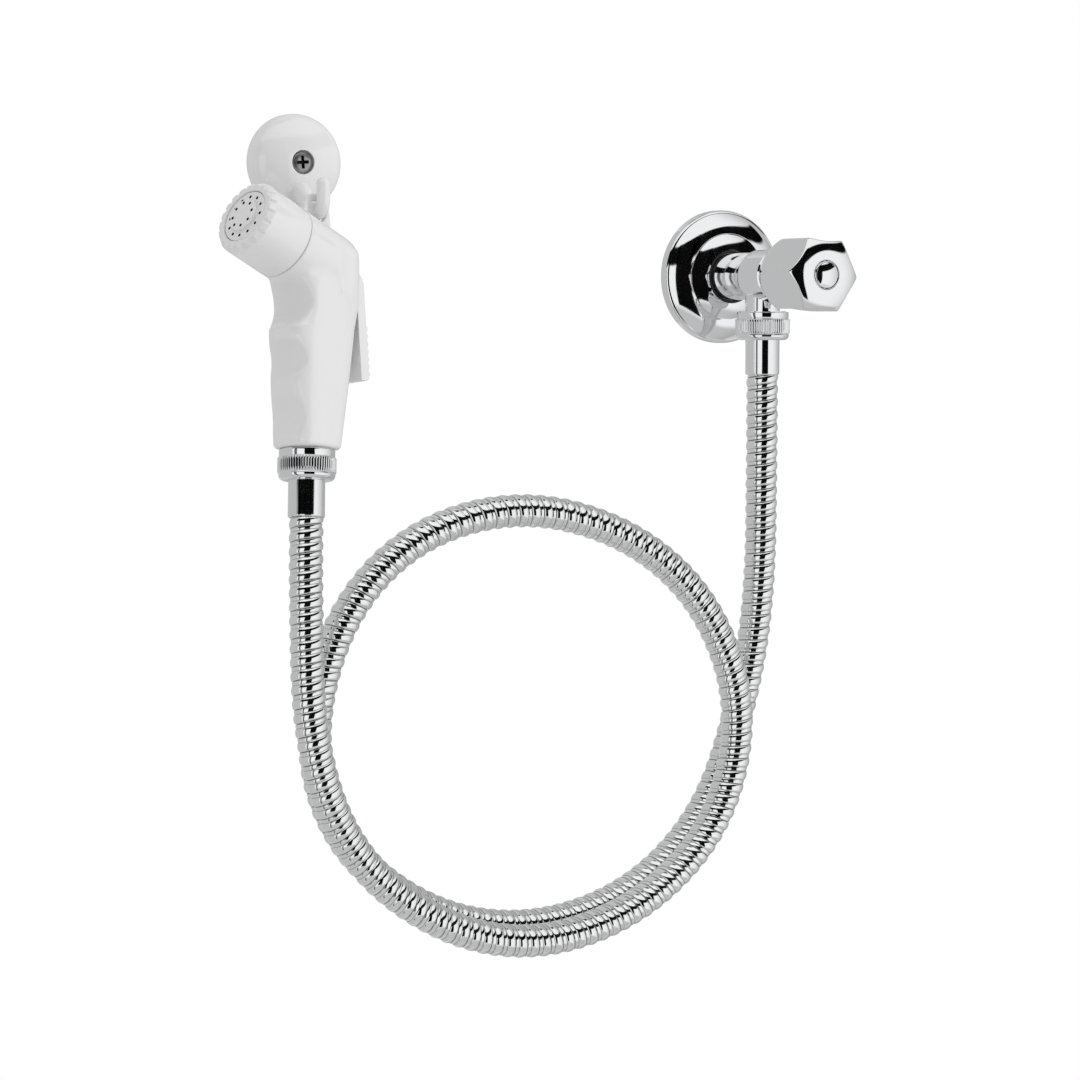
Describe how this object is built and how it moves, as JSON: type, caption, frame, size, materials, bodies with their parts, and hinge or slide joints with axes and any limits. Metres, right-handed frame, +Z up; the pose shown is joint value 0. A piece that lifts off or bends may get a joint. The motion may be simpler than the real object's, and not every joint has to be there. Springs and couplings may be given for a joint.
{
  "type": "handheld bidet shower",
  "caption": "Handheld bidet shower: wall tap with a hexagonal knob, a flexible metal hose and a white trigger handset hanging by its eye on a domed wall hook.",
  "frame": {"origin": "on the axis of the tap's threaded inlet, in the plane of the wall", "axes": "+Y into the wall along the inlet, -Y towards the user, +Z up, -X from the tap towards the wall hook"},
  "size_m": [0.2918, 0.1209, 0.3651],
  "materials": {
    "tap_chrome": "polished",
    "flange_chrome": "polished",
    "handle_chrome": "polished",
    "button_chrome": "polished",
    "nut_chrome": "polished",
    "ferrule_chrome": "polished",
    "hose_chrome": "polished",
    "black_rubber": "satin",
    "o_ring_rubber": "satin",
    "washer_rubber": "matte",
    "brass": "machined",
    "spindle_brass": "machined",
    "screw_steel": "satin",
    "pin_steel": "satin",
    "holder_white": "gloss",
    "handset_white": "gloss",
    "collar_white": "gloss",
    "spray_white": "gloss",
    "lever_white": "gloss",
    "cartridge_plastic": "matte"
  },
  "bodies": {
    "fixed": {"valve_body": "tap_chrome", "wall_flange": "flange_chrome", "flange_ring": "black_rubber", "headwork": "brass", "holder_body": "holder_white", "holder_screw": "screw_steel", "handset_body": "handset_white", "lever_pin": "pin_steel", "nozzle_collar": "collar_white", "spray_face": "spray_white", "spray_gasket": "washer_rubber", "valve_cartridge": "cartridge_plastic", "cartridge_o_ring": "o_ring_rubber", "stem_o_ring": "o_ring_rubber", "plunger_spring": "pin_steel", "tap_end_nut": "nut_chrome", "tap_end_washer": "washer_rubber", "tap_end_nipple": "brass", "tap_end_ferrule": "ferrule_chrome", "handset_end_nut": "nut_chrome", "handset_end_washer": "washer_rubber", "handset_end_nipple": "brass", "handset_end_ferrule": "ferrule_chrome", "hose": "hose_chrome"},
    "trigger": {"trigger_lever": "lever_white"},
    "valve_plunger": {"plunger": "cartridge_plastic", "plunger_seal": "washer_rubber"},
    "tap_spindle": {"tap_handle": "handle_chrome", "handle_screw": "screw_steel", "handle_button": "button_chrome", "spindle": "spindle_brass", "spindle_o_ring": "o_ring_rubber"},
    "jumper_valve": {"jumper": "brass", "valve_washer": "washer_rubber", "washer_screw": "screw_steel"}
  },
  "joints": [
    {"name": "trigger_squeeze", "type": "hinge", "parent": "fixed", "child": "trigger", "pos_m": [-0.20618, -0.02907, -0.00368], "axis": [-0.3506, 0.9287, -0.1207], "range_deg": [0, 6.2], "stiffness_Nm_per_rad": 0.5, "springref_deg": -8.59},
    {"name": "plunger_push", "type": "slide", "parent": "fixed", "child": "valve_plunger", "axis": [-0.9323, -0.3338, 0.1392], "range_m": [0, 0.0019], "deforming": ["plunger_spring"]},
    {"name": "tap_turn", "type": "hinge", "parent": "fixed", "child": "tap_spindle", "pos_m": [0, 0, 0], "axis": [0, -1, 0], "range_deg": [0, 540]},
    {"name": "jumper_lift", "type": "slide", "parent": "fixed", "child": "jumper_valve", "axis": [0, -1, 0], "range_m": [0, 0.0038]}
  ],
  "couplings": [
    {"joint": "plunger_push", "follows": "trigger_squeeze", "m_per_rad": 0.017},
    {"joint": "jumper_lift", "follows": "tap_turn", "m_per_rad": 0.00039789}
  ]
}
